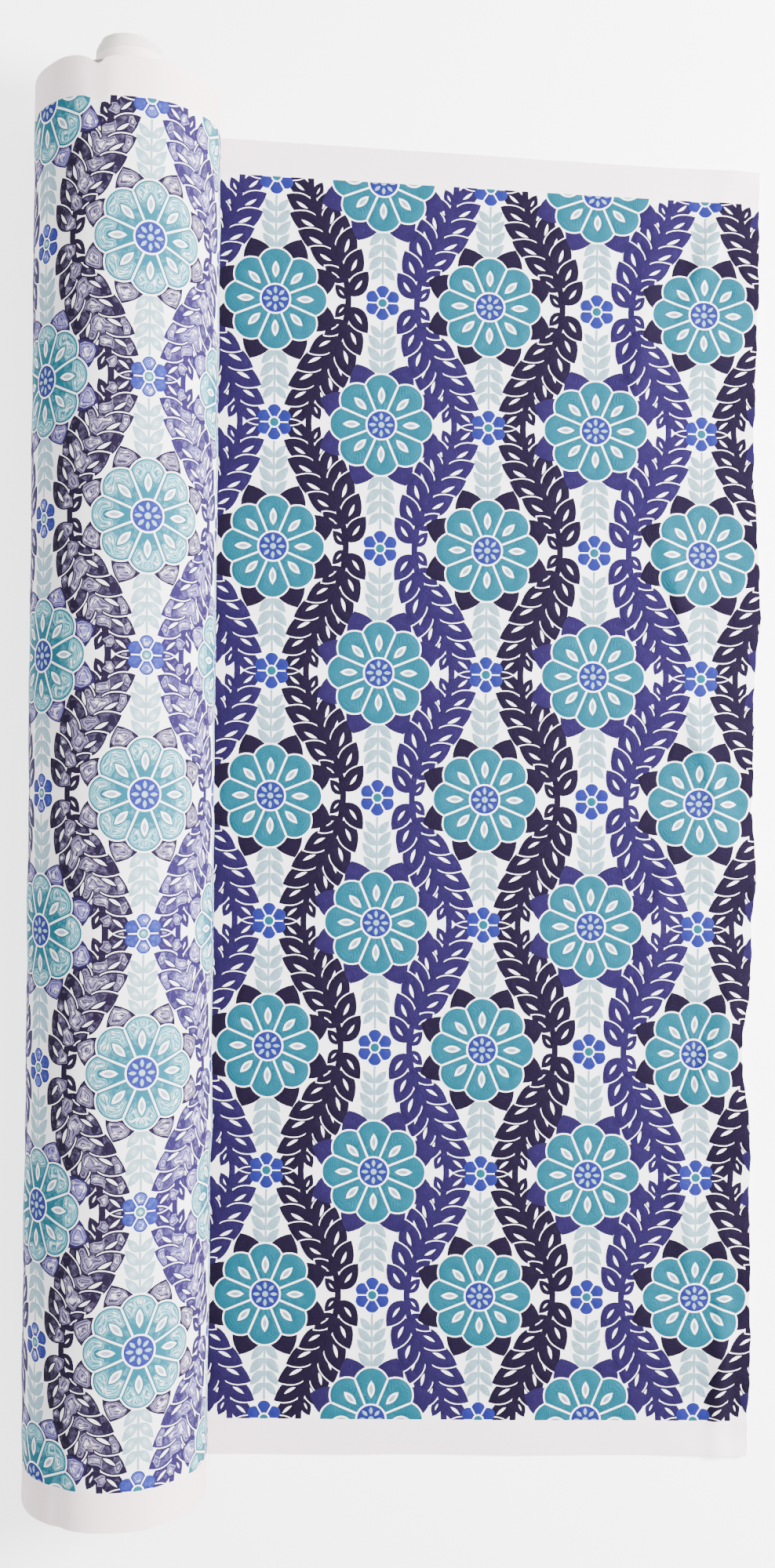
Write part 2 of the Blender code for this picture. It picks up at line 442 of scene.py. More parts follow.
def cloth_strip(p0, p1):
    """The flat cloth from pattern position p0 to p1: points (p, v, depth), triangles and labels."""
    cell, margin = repeat_cell()
    verts, tris, labels = [], [], []
    count = 0

    def put(x, y, depth, t, label, flip):
        nonlocal count
        verts.append(np.stack([x, y, depth], 1))
        tris.append((t[:, ::-1] if flip else t) + count)
        labels.append(label)
        count += len(x)

    for i in range(int(math.floor(p0 / COLUMN)), int(math.ceil(p1 / COLUMN))):
        odd = i % 2
        v, t, label, depth = cell
        swap = {STEM_A: INDIGO, STEM_B: NAVY} if odd else {STEM_A: NAVY, STEM_B: INDIGO}
        named = np.array([swap.get(int(k), int(k)) for k in label])
        for j in range(-5, 5):
            x = (i + 1) * COLUMN - v[:, 0] if odd else i * COLUMN + v[:, 0]
            y = (j + 1) * ROW / 2 - v[:, 1] if j % 2 else j * ROW / 2 + v[:, 1]
            put(x, y, depth, t, named, bool(odd) != bool(j % 2))
        v, t = margin
        for side in (1, -1):
            x = (i + 1) * COLUMN - v[:, 0] if odd else i * COLUMN + v[:, 0]
            y = side * (PRINT_EDGE + v[:, 1])
            put(x, y, np.minimum(12.0, v[:, 1]), t, np.zeros(len(t), int), bool(odd) != (side < 0))
    verts, tris, labels = np.concatenate(verts), np.concatenate(tris), np.concatenate(labels)
    key = np.round(verts[:, :2] * 500).astype(np.int64)
    _, first, back = np.unique(key, axis=0, return_index=True, return_inverse=True)
    back = back.reshape(-1)
    tris = back[tris]
    merged = verts[first]
    least = np.full(len(first), 1e9)
    np.minimum.at(least, back, verts[:, 2])
    merged[:, 2] = least
    good = (tris[:, 0] != tris[:, 1]) & (tris[:, 1] != tris[:, 2]) & (tris[:, 2] != tris[:, 0])
    merged, tris, labels = cut_along(merged, tris[good], labels[good], p0)
    merged, tris, labels = cut_along(merged, tris, labels, p1)
    mid = merged[tris][:, :, 0].mean(1)
    keep = (mid > p0) & (mid < p1)
    return compact(merged, tris[keep], labels[keep])


def compact(verts, tris, labels):
    used = np.unique(tris)
    place = np.full(len(verts), -1)
    place[used] = np.arange(len(used))
    return verts[used], place[tris], labels


def cut_along(verts, tris, labels, at):
    """Splits the triangles that cross the line p = at, so that points lie on it."""
    f = verts[:, 0] - at
    near = np.abs(f) < 0.12
    verts = verts.copy()
    verts[near, 0] = at
    f[near] = 0.0
    s = np.sign(f)[tris]
    crossing = (s.min(1) < 0) & (s.max(1) > 0)
    extra, made = [], {}
    new_tris, new_labels = [], []

    def on(a, b):
        key = (min(a, b), max(a, b))
        if key not in made:
            t = f[a] / (f[a] - f[b])
            made[key] = len(verts) + len(extra)
            p = verts[a] + (verts[b] - verts[a]) * t
            p[0] = at
            extra.append(p)
        return made[key]

    for t in np.nonzero(crossing)[0]:
        tri = list(tris[t])
        signs = [np.sign(f[i]) for i in tri]
        if 0 in signs:
            k = signs.index(0)
            a, b, c = tri[k], tri[(k + 1) % 3], tri[(k + 2) % 3]
            m = on(b, c)
            found = [(a, b, m), (a, m, c)]
        else:
            k = next(i for i in range(3) if signs.count(signs[i]) == 1)
            a, b, c = tri[k], tri[(k + 1) % 3], tri[(k + 2) % 3]
            m, n = on(a, b), on(a, c)
            found = [(a, m, n), (m, b, c), (m, c, n)]
        new_tris += found
        new_labels += [labels[t]] * len(found)
    if not new_tris:
        return verts, tris, labels
    return (np.concatenate([verts, np.array(extra).reshape(-1, verts.shape[1])]),
            np.concatenate([tris[~crossing], np.array(new_tris)]),
            np.concatenate([labels[~crossing], np.array(new_labels)]))


def noise(x, y, seed, scale, octaves=3):
    """Smooth seeded noise from sums of waves, about -1 to 1."""
    rng = np.random.RandomState(seed)
    out = np.zeros_like(np.asarray(x, float))
    total = 0.0
    for o in range(octaves):
        for _ in range(4):
            a, ph = rng.uniform(0, 2 * math.pi, 2)
            k = 2 * math.pi / scale * 1.9 ** o * rng.uniform(0.7, 1.3)
            out = out + np.sin(k * (np.cos(a) * x + np.sin(a) * y) + ph) * 0.5 ** o
        total += 1.55 * 0.5 ** o
    return out / total


def step(x, low, high):
    t = np.clip((x - low) / (high - low), 0, 1)
    return t * t * (3 - 2 * t)


def make(name, verts, faces, indices, materials, cloth=None, angle=58):
    """A mesh object from points in metres, its faces, and a material number for each."""
    mesh = bpy.data.meshes.new(name)
    mesh.from_pydata([tuple(p) for p in np.asarray(verts, float).tolist()], [], faces)
    for m in materials:
        mesh.materials.append(m)
    mesh.polygons.foreach_set("material_index", np.asarray(indices, np.int32))
    if cloth is not None:
        a = mesh.attributes.new("cloth", "FLOAT_VECTOR", "POINT")
        a.data.foreach_set("vector", np.asarray(cloth, np.float32).reshape(-1))
    mesh.shade_smooth()
    mesh.set_sharp_from_angle(angle=math.radians(angle))
    mesh.validate()
    mesh.update()
    obj = bpy.data.objects.new(name, mesh)
    bpy.context.scene.collection.objects.link(obj)
    return obj


def open_edges(tris):
    """The directed edges that only one triangle has."""
    e = np.concatenate([tris[:, [0, 1]], tris[:, [1, 2]], tris[:, [2, 0]]])
    n = int(e.max()) + 1
    code, back = e[:, 0].astype(np.int64) * n + e[:, 1], e[:, 1].astype(np.int64) * n + e[:, 0]
    return e[~np.isin(code, back)]


# --------------------------------------------------------------- materials
def srgb(r, g, b):
    out = []
    for c in (r, g, b):
        c /= 255
        out.append(c / 12.92 if c <= 0.04045 else ((c + 0.055) / 1.055) ** 2.4)
    return tuple(out) + (1.0,)


class Nodes:
    """Short ways to add nodes to one material."""

    def __init__(self, name):
        self.mat = bpy.data.materials.new(name)
        self.mat.use_nodes = True
        self.tree = self.mat.node_tree
        self.bsdf = self.tree.nodes["Principled BSDF"]

    def put(self, socket, value):
        if isinstance(value, bpy.types.NodeSocket):
            self.tree.links.new(value, socket)
        elif value is not None:
            socket.default_value = value

    def math(self, op, a, b=None, c=None, clamp=False):
        n = self.tree.nodes.new("ShaderNodeMath")
        n.operation = op
        n.use_clamp = clamp
        for k, x in enumerate((a, b, c)):
            self.put(n.inputs[k], x)
        return n.outputs[0]

    def noise(self, vector, scale, detail=2.0, rough=0.55):
        n = self.tree.nodes.new("ShaderNodeTexNoise")
        self.put(n.inputs["Vector"], vector)
        n.inputs["Scale"].default_value = scale
        n.inputs["Detail"].default_value = detail
        n.inputs["Roughness"].default_value = rough
        return n.outputs["Fac"]

    def scaled(self, vector, by):
        n = self.tree.nodes.new("ShaderNodeVectorMath")
        n.operation = "MULTIPLY"
        self.put(n.inputs[0], vector)
        n.inputs[1].default_value = by
        return n.outputs[0]

    def mix(self, factor, a, b, kind="MIX"):
        n = self.tree.nodes.new("ShaderNodeMix")
        n.data_type = "RGBA"
        n.blend_type = kind
        self.put(n.inputs[0], factor)
        self.put(n.inputs[6], a)
        self.put(n.inputs[7], b)
        return n.outputs[2]

    def ramp(self, value, low, high, to_low=0.0, to_high=1.0):
        n = self.tree.nodes.new("ShaderNodeMapRange")
        n.interpolation_type = "SMOOTHSTEP"
        self.put(n.inputs["Value"], value)
        n.inputs["From Min"].default_value = low
        n.inputs["From Max"].default_value = high
        n.inputs["To Min"].default_value = to_low
        n.inputs["To Max"].default_value = to_high
        return n.outputs["Result"]

    def bump(self, height, distance, strength=1.0, normal=None):
        n = self.tree.nodes.new("ShaderNodeBump")
        n.inputs["Strength"].default_value = strength
        n.inputs["Distance"].default_value = distance
        self.put(n.inputs["Height"], height)
        if normal is not None:
            self.put(n.inputs["Normal"], normal)
        return n.outputs["Normal"]

    def cloth(self):
        """The cloth's own coordinates in millimetres: along, across, and depth inside a shape."""
        n = self.tree.nodes.new("ShaderNodeAttribute")
        n.attribute_name = "cloth"
        s = self.tree.nodes.new("ShaderNodeSeparateXYZ")
        self.tree.links.new(n.outputs["Vector"], s.inputs[0])
        return n.outputs["Vector"], s.outputs[0], s.outputs[1], s.outputs[2]

    def finish(self, colour, roughness, normal, sheen=0.0, shine=0.2):
        self.put(self.bsdf.inputs["Base Color"], colour)
        self.put(self.bsdf.inputs["Roughness"], roughness)
        self.put(self.bsdf.inputs["Normal"], normal)
        self.bsdf.inputs["Specular IOR Level"].default_value = shine
        if sheen:
            self.bsdf.inputs["Sheen Weight"].default_value = sheen
            self.bsdf.inputs["Sheen Roughness"].default_value = 0.5
        return self.mat


def shade(colour, by):
    return tuple(min(1.0, max(0.0, c * by)) for c in colour[:3]) + (1.0,)


def weave(n, u, v, pitch):
    """Plain weave: threads over and under each other, as a height from 0 to 1."""
    a = n.math("SINE", n.math("MULTIPLY", u, math.pi / pitch))
    b = n.math("SINE", n.math("MULTIPLY", v, math.pi / pitch))
    over = n.math("MULTIPLY_ADD", n.math("MULTIPLY", a, b), 0.5, 0.5)
    return over


def ground_material(name, colour, warm, dull=1.0):
    """The base cloth: plain weave with slubs, a little uneven in tone."""
    n = Nodes(name)
    vec, u, v, _ = n.cloth()
    height = weave(n, u, v, 0.62)
    slub = n.noise(n.scaled(vec, (0.10, 1.4, 0.0)), 1.0, 2)
    slub_b = n.noise(n.scaled(vec, (1.4, 0.10, 0.0)), 1.0, 2)
    fine = n.noise(n.scaled(vec, (1.0, 1.0, 0.0)), 2.2, 3, 0.7)
    soft = n.noise(n.scaled(vec, (1.0, 1.0, 0.0)), 0.012, 2)
    c = n.mix(n.ramp(fine, 0.35, 0.75), shade(colour, 0.90 * dull), shade(colour, 1.035))
    c = n.mix(n.math("MULTIPLY", n.ramp(slub, 0.56, 0.76), 0.30), c, shade(colour, 0.82 * dull))
    c = n.mix(n.math("MULTIPLY", n.ramp(slub_b, 0.58, 0.78), 0.22), c, shade(colour, 0.86))
    c = n.mix(n.math("MULTIPLY", n.ramp(soft, 0.40, 0.70), 0.22), c, shade(colour, 0.93))
    # the raised crossings of the weave, by the same height as the bump, painted a little lighter: painted highlight
    # on the thread crowns
    c = n.mix(n.math("MULTIPLY", height, 0.10), c, shade(colour, 1.12))
    margin = n.ramp(n.math("ABSOLUTE", v), PRINT_EDGE - 3, PRINT_EDGE + 3)
    c = n.mix(margin, c, warm, "MULTIPLY")
    nrm = n.bump(n.math("MULTIPLY_ADD", fine, 0.55, height), 0.00022, 0.75)
    return n.finish(c, n.ramp(fine, 0.3, 0.7, 0.80, 0.93), nrm, 0.10, 0.10)


def stitch_material(name, colour, pitch=1.25):
    """Chain stitch laid in rows that follow the edge of each shape."""
    n = Nodes(name)
    vec, u, v, depth = n.cloth()
    wobble = n.noise(n.scaled(vec, (1.0, 1.0, 0.0)), 0.42, 2)
    d = n.math("MULTIPLY_ADD", n.math("SUBTRACT", wobble, 0.5), 1.1, depth)
    row = n.math("ABSOLUTE", n.math("SINE", n.math("MULTIPLY", d, math.pi / pitch)))
    twist = n.math("SINE", n.math("MULTIPLY", n.math("ADD", n.math("MULTIPLY", u, 0.8), n.math("MULTIPLY_ADD", v, 1.15, n.math("MULTIPLY", d, 1.6))), 2.6))
    thread = n.noise(n.scaled(vec, (1.0, 1.0, 1.3)), 1.9, 3, 0.7)
    patch = n.noise(n.scaled(vec, (1.0, 1.0, 0.0)), 0.07, 2)
    c = n.mix(n.ramp(thread, 0.32, 0.72), shade(colour, 0.80), shade(colour, 1.16))
    # the troughs between stitch rows, where the row bump is lowest, darkened: painted shade in the grooves between
    # rows
    c = n.mix(n.math("MULTIPLY", n.math("SUBTRACT", 1.0, row, clamp=True), 0.42), c, shade(colour, 0.55))
    c = n.mix(n.math("MULTIPLY", n.ramp(patch, 0.42, 0.66), 0.28), c, shade(colour, 1.15))
    pale = shade(colour, 1.55)
    c = n.mix(n.math("MULTIPLY", n.ramp(thread, 0.66, 0.82), 0.25), c, pale)
    height = n.math("ADD", n.math("MULTIPLY", row, 0.8), n.math("ADD", n.math("MULTIPLY", twist, 0.16), n.math("MULTIPLY", thread, 0.5)))
    nrm = n.bump(height, 0.00042, 0.9)
    return n.finish(c, n.ramp(thread, 0.3, 0.7, 0.66, 0.84), nrm, 0.02, 0.05)


def back_material(name, cloth_colour, colour, tint, pitch=2.0):
    """The reverse of a stitched shape: lines of thread with the cloth between them."""
    n = Nodes(name)
    vec, u, v, depth = n.cloth()
    wobble = n.noise(n.scaled(vec, (1.0, 1.0, 0.0)), 0.22, 3, 0.6)
    fine = n.noise(n.scaled(vec, (1.0, 1.0, 0.0)), 1.5, 3, 0.7)
    d = n.math("MULTIPLY_ADD", n.math("SUBTRACT", wobble, 0.5), 0.6, depth)
    rim = n.ramp(d, 1.18, 1.75, 1.0, 0.0)
    wave = n.math("COSINE", n.math("MULTIPLY", n.math("SUBTRACT", d, 0.3), 2 * math.pi / pitch))
    line = n.math("MAXIMUM", rim, n.math("MULTIPLY", n.ramp(wave, 0.05, 0.75), 0.85))
    broken = n.ramp(fine, 0.30, 0.50, 0.84, 1.0)
    gap = n.ramp(n.noise(n.scaled(vec, (1.0, 1.0, 0.0)), 0.16, 2), 0.50, 0.62)
    c = n.mix(n.ramp(fine, 0.35, 0.7), shade(tint, 0.90), shade(tint, 1.10))
    c = n.mix(n.math("MULTIPLY", gap, n.ramp(d, 1.3, 2.8, 0.0, 0.6)), c, cloth_colour)
    c = n.mix(n.math("MULTIPLY", line, broken), c, shade(colour, 1.05))
    nrm = n.bump(n.math("ADD", n.math("MULTIPLY", line, 0.7), n.math("MULTIPLY", fine, 0.6)), 0.00035, 0.8)
    return n.finish(c, n.ramp(fine, 0.3, 0.7, 0.72, 0.88), nrm, 0.02, 0.06)


COLOURS = {GROUND: (249, 243, 247), TEAL: (18, 83, 100), NAVY: (20, 12, 33), INDIGO: (31, 21, 61),
           ROYAL: (31, 35, 105), AQUA: (124, 154, 166), GREY: (126, 144, 160)}
NAMES = ("ground", "teal", "navy", "indigo", "royal", "aqua", "grey")
TINTS = {TEAL: (112, 172, 184), NAVY: (116, 108, 140), INDIGO: (118, 111, 168), ROYAL: (84, 98, 176),
         AQUA: (176, 196, 204), GREY: (174, 188, 198)}
white_back = srgb(249, 243, 248)
FACE = [ground_material("cloth_face_ground", srgb(*COLOURS[GROUND]), (1.0, 0.90, 0.945, 1.0))]
BACK = [ground_material("cloth_reverse_ground", white_back, (1.0, 0.855, 0.84, 1.0))]
for k in range(1, 7):
    colour = srgb(*COLOURS[k])
    FACE.append(stitch_material("cloth_face_" + NAMES[k], colour))
    BACK.append(back_material("cloth_reverse_" + NAMES[k], white_back, colour, srgb(*TINTS[k])))


def edge_material(name, base):
    """Cut and woven edges of the cloth, with loose fibres."""
    n = Nodes(name)
    geo = n.tree.nodes.new("ShaderNodeNewGeometry")
    p = geo.outputs["Position"]
    fine = n.noise(p, 900.0, 3, 0.7)
    broad = n.noise(p, 60.0, 2)
    c = n.mix(n.ramp(fine, 0.35, 0.7), shade(base, 0.78), shade(base, 1.05))
    c = n.mix(n.math("MULTIPLY", n.ramp(broad, 0.45, 0.7), 0.25), c, shade(base, 0.80))
    return n.finish(c, n.ramp(fine, 0.3, 0.7, 0.84, 0.95), n.bump(fine, 0.0004, 0.8), 0.15)


def card_material():
    """Spiral-wound cardboard: fibres, and the seams of its wound strips."""
    n = Nodes("wound_cardboard")
    geo = n.tree.nodes.new("ShaderNodeNewGeometry")
    p = geo.outputs["Position"]
    fibre = n.noise(n.scaled(p, (1.0, 0.25, 1.0)), 420.0, 4, 0.7)
    blotch = n.noise(p, 22.0, 3)
    s = n.tree.nodes.new("ShaderNodeSeparateXYZ")
    n.tree.links.new(p, s.inputs[0])
    turn = n.math("ARCTAN2", n.math("SUBTRACT", s.outputs[2], AXIS), s.outputs[0])
    lead = n.math("MULTIPLY_ADD", s.outputs[1], 1 / 0.085, n.math("MULTIPLY", turn, 1 / (2 * math.pi)))
    seam = n.ramp(n.math("ABSOLUTE", n.math("SUBTRACT", n.math("FRACT", lead), 0.5)), 0.0, 0.018)
    base = srgb(170, 134, 96)
    c = n.mix(n.ramp(fibre, 0.3, 0.7), shade(base, 0.78), shade(base, 1.12))
    c = n.mix(n.math("MULTIPLY", n.ramp(blotch, 0.4, 0.7), 0.3), c, shade(base, 0.80))
    c = n.mix(n.math("MULTIPLY", n.math("SUBTRACT", 1.0, seam), 0.7), c, shade(base, 0.45))
    nrm = n.bump(n.math("ADD", fibre, seam), 0.0003, 0.8)
    return n.finish(c, n.ramp(fibre, 0.3, 0.7, 0.74, 0.90), nrm)


def tape_material():
    n = Nodes("paper_tape")
    geo = n.tree.nodes.new("ShaderNodeNewGeometry")
    p = geo.outputs["Position"]
    crepe = n.noise(n.scaled(p, (0.3, 1.0, 0.3)), 900.0, 3, 0.6)
    base = srgb(206, 180, 128)
    c = n.mix(n.ramp(crepe, 0.3, 0.7), shade(base, 0.86), shade(base, 1.08))
    return n.finish(c, n.ramp(crepe, 0.3, 0.7, 0.42, 0.60), n.bump(crepe, 0.0002, 0.7))


EDGE = edge_material("cloth_edge", srgb(226, 218, 216))
# a darker copy of the cut-edge colour for the slopes into the grooves between wound turns: painted shade where the
# grooves fall into shadow
GROOVE_PAINTED_SHADE = edge_material("cloth_between_turns_painted_shade", srgb(150, 141, 142))
CARD = card_material()
TAPE = tape_material()


# ------------------------------------------------------------ the free end
CUTS = (0.0, 0.0915, 0.1530, 0.2341, 0.3152, 0.3963, 0.4774, 0.5585, TAIL)
P_TAIL = 139.5                 # where the first column lies on the free end
P_ROLL = 13.7                  # the roll's turns are this much tighter


def relief(labels, tris, depth, count, high):
    """How far the stitching stands up at each point."""
    stitched = np.zeros(count, bool)
    stitched[tris[labels > 0].reshape(-1)] = True
    h = high * (1 - np.exp(-depth / 0.55))
    return np.where(stitched, h, 0.0)


def tail_place(u, v):
    """Where a point of the free end lies: x, y and how far it is lifted off the floor."""
    t = u / 641.0
    w = v / 686.0
    shear = -6.0 + 1.3 * w - 6.0 * w ** 2 - 26.3 * w ** 3 - 8.0 * step(-v, 560, 686)
    y = v + t * shear
    end = (5.5 * np.exp(-((y - 212) / 70) ** 2) - 8.5 * np.exp(-((y + 262) / 52) ** 2)
           + 4.5 * np.exp(-((y + 78) / 36) ** 2) - 3.0 * np.exp(-((y - 370) / 90) ** 2)
           + 2.5 * np.exp(-((y + 560) / 110) ** 2) + 0.5 * np.sin(y / 9.0) + 0.35 * np.sin(y / 3.7 + 1))
    x = u + end * step(u, 545, 641) - 1.2 * step(u, 600, 641)
    calm = step(u, 60, 260)
    lift = calm * (1.1 * (noise(u, v * 0.6, 11, 260, 2) + 0.6))
    edge = step(u, 520, 641)
    lift += edge * (1.9 + 3.2 * noise(u * 0.5, v, 23, 120, 2))
    # soft folds near the cut end
    for cx, cy, length, width, high, lean in (
            (611, -600, 120, 9, 5.0, 0.02), (560, 215, 70, 10, 4.2, -0.25), (600, -262, 46, 9, 5.5, 0.35),
            (520, 470, 90, 13, 3.2, 0.10), (585, 560, 70, 10, 4.0, 0.30), (590, 40, 60, 9, 3.8, -0.30),
            (572, -430, 80, 11, 3.8, -0.12), (545, -110, 90, 12, 3.2, 0.20)):
        across = (x - cx) - lean * (y - cy)
        lift += high * np.exp(-(across / width) ** 2 - ((y - cy) / length) ** 2)
    corner = np.exp(-(((u - 641) / 40) ** 2 + ((np.abs(v) - 686) / 60) ** 2))
    lift += 2.0 * corner
    return x, y, np.clip(lift, 0, None)


strip, strip_tris, strip_labels = cloth_strip(-P_TAIL, TAIL * 1000 - P_TAIL)
su = strip[:, 0] + P_TAIL
sx, sy, slift = tail_place(su, strip[:, 1])
sh = relief(strip_labels, strip_tris, strip[:, 2], len(strip), 0.55)
BASE = 0.00095                 # the base cloth alone
top = np.stack([sx / 1000, sy / 1000, slift / 1000 + BASE + sh / 1000], 1)
bottom = np.stack([sx / 1000, sy / 1000, slift / 1000], 1)
coords = np.stack([su, strip[:, 1], strip[:, 2]], 1)
centre = su[strip_tris].mean(1) / 1000
tail_pieces = []
for k in range(8):
    pick = (centre > CUTS[k]) & (centre < CUTS[k + 1])
    used = np.unique(strip_tris[pick])
    place = np.full(len(strip), -1)
    place[used] = np.arange(len(used))
    t = place[strip_tris[pick]]
    lab = strip_labels[pick]
    n = len(used)
    rim = open_edges(t)
    walls = [(a + n, b + n, b, a) for a, b in rim.tolist()]
    faces = t.tolist() + (t[:, ::-1] + n).tolist() + walls
    mats = FACE + BACK + [EDGE]
    indices = lab.tolist() + (lab + 7).tolist() + [14] * len(walls)
    piece = make("cloth_tail_%02d" % (k + 1), np.concatenate([top[used], bottom[used]]), faces, indices, mats,
                 np.concatenate([coords[used], coords[used]]))
    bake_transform(piece)
    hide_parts("tail_panel_%02d" % (k + 1))
    tail_pieces.append(piece)


# -------------------------------------------------------- the roll's outside
OUTER = 549.3                  # once round, from the floor to where the free end leaves
solve = -P_TAIL - OUTER + P_ROLL
roll, roll_tris, roll_labels = cloth_strip(solve, -P_TAIL)
ru = roll[:, 0] + P_TAIL
for _ in range(12):            # settles: ru depends on itself a little
    ru = roll[:, 0] + P_TAIL - P_ROLL * step(-ru, 0, 120)


def roll_point(u, v):
    """A point on the outside of the roll, in millimetres: u is how far along the cloth, v across it."""
    angle = -u / 90.0 * (2 * math.pi - 0.18) / (OUTER / 90.0)
    swell = 0.55 * noise(angle * 60, v, 31, 240, 2) + 0.35 * noise(angle * 20, v * 2.0, 37, 160, 2)
    # long soft tension folds, and a dent in the rim
    swell += 0.5 * np.sin(angle * 9 + 0.6 * np.sin(v / 190)) * np.exp(-((np.abs(v) - 640) / 90) ** 2)
    swell -= 3.2 * np.exp(-((angle - 2.97) / 0.085) ** 2 - ((v - 690) / 50) ** 2)
    swell += 1.6 * np.exp(-((angle - 2.60) / 0.22) ** 2 - ((v - 690) / 60) ** 2)
    swell -= 2.2 * np.exp(-((angle - 2.70) / 0.06) ** 2 - ((v + 680) / 40) ** 2)
    rest = step(np.abs(angle - math.pi), 2.5, 2.9)
    swell = np.maximum(swell, -2.5)      # stays clear of the turns underneath
    r = R * 1000 + swell * (1 - rest)
    x, z = -r * np.sin(angle), AXIS * 1000 - r * np.cos(angle)
    wander = 1.3 * noise(angle * 90, v * 0.02, 41, 150, 2)
    tucked = -7.5 * np.exp(-((angle - 2.97) / 0.075) ** 2) + 2.5 * np.exp(-((angle - 2.62) / 0.20) ** 2)
    wander += np.where(v > 0, tucked, 0.0)
    return x, v + wander * step(np.abs(v), 590, 686), np.maximum(z, 0.0)


rh = relief(roll_labels, roll_tris, roll[:, 2], len(roll), 0.22)
ox, oy, oz = roll_point(ru, roll[:, 1])
angle = -ru / 90.0 * (2 * math.pi - 0.18) / (OUTER / 90.0)
ox, oz = ox - rh * np.sin(angle), np.maximum(oz - rh * np.cos(angle), 0.0)
outer = np.stack([ox, oy, oz], 1) / 1000
n = len(roll)
faces = roll_tris[:, ::-1].tolist()
indices = roll_labels.tolist()
rim = open_edges(roll_tris)
ends = {}
for side in (1, -1):
    on = [i for i in np.unique(rim) if abs(roll[i, 1] - side * HALF * 1000) < 0.01]
    ends[side] = sorted(on, key=lambda i: roll[i, 0])
extra = []
inner = {}
for side in (1, -1):
    ids = np.array(ends[side])
    a = angle[ids]
    for q, i in enumerate(ids):
        r = min(88.6, math.hypot(ox[i], AXIS * 1000 - oz[i]) - 1.2)
        z = max(AXIS * 1000 - r * math.cos(a[q]), 1.3)
        inner[int(i)] = n + len(extra)
        extra.append((-r * math.sin(a[q]) / 1000, oy[i] / 1000, z / 1000))
    for a_, b_ in zip(ids, ids[1:]):
        quad = (int(a_), int(b_), inner[int(b_)], inner[int(a_)])
        faces.append(quad if side < 0 else quad[::-1])
        indices.append(14)
for a_, b_, c_, d_ in zip(ends[1], ends[1][1:], ends[-1][1:], ends[-1]):
    faces.append((inner[int(a_)], inner[int(d_)], inner[int(c_)], inner[int(b_)]))
    indices.append(7)
for at, flip in ((roll[:, 0].min(), False), (roll[:, 0].max(), True)):
    line = [int(i) for i in np.unique(rim) if abs(roll[i, 0] - at) < 0.01]
    line.sort(key=lambda i: roll[i, 1])
    loop = line + [inner[line[-1]], inner[line[0]]]
    faces.append(tuple(loop[::-1] if flip else loop))
    indices.append(14)
wrap = make("cloth_outer_turn", np.concatenate([outer, np.array(extra)]), faces,
            [i if i in (7, 14) else i + 7 for i in indices], FACE + BACK + [EDGE],
            np.concatenate([np.stack([ru, roll[:, 1], roll[:, 2]], 1),
                            np.array([(0.0, 0.0, 12.0)] * len(extra))]))
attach(wrap, "roll")
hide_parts("outer_turn_and_tail_root")


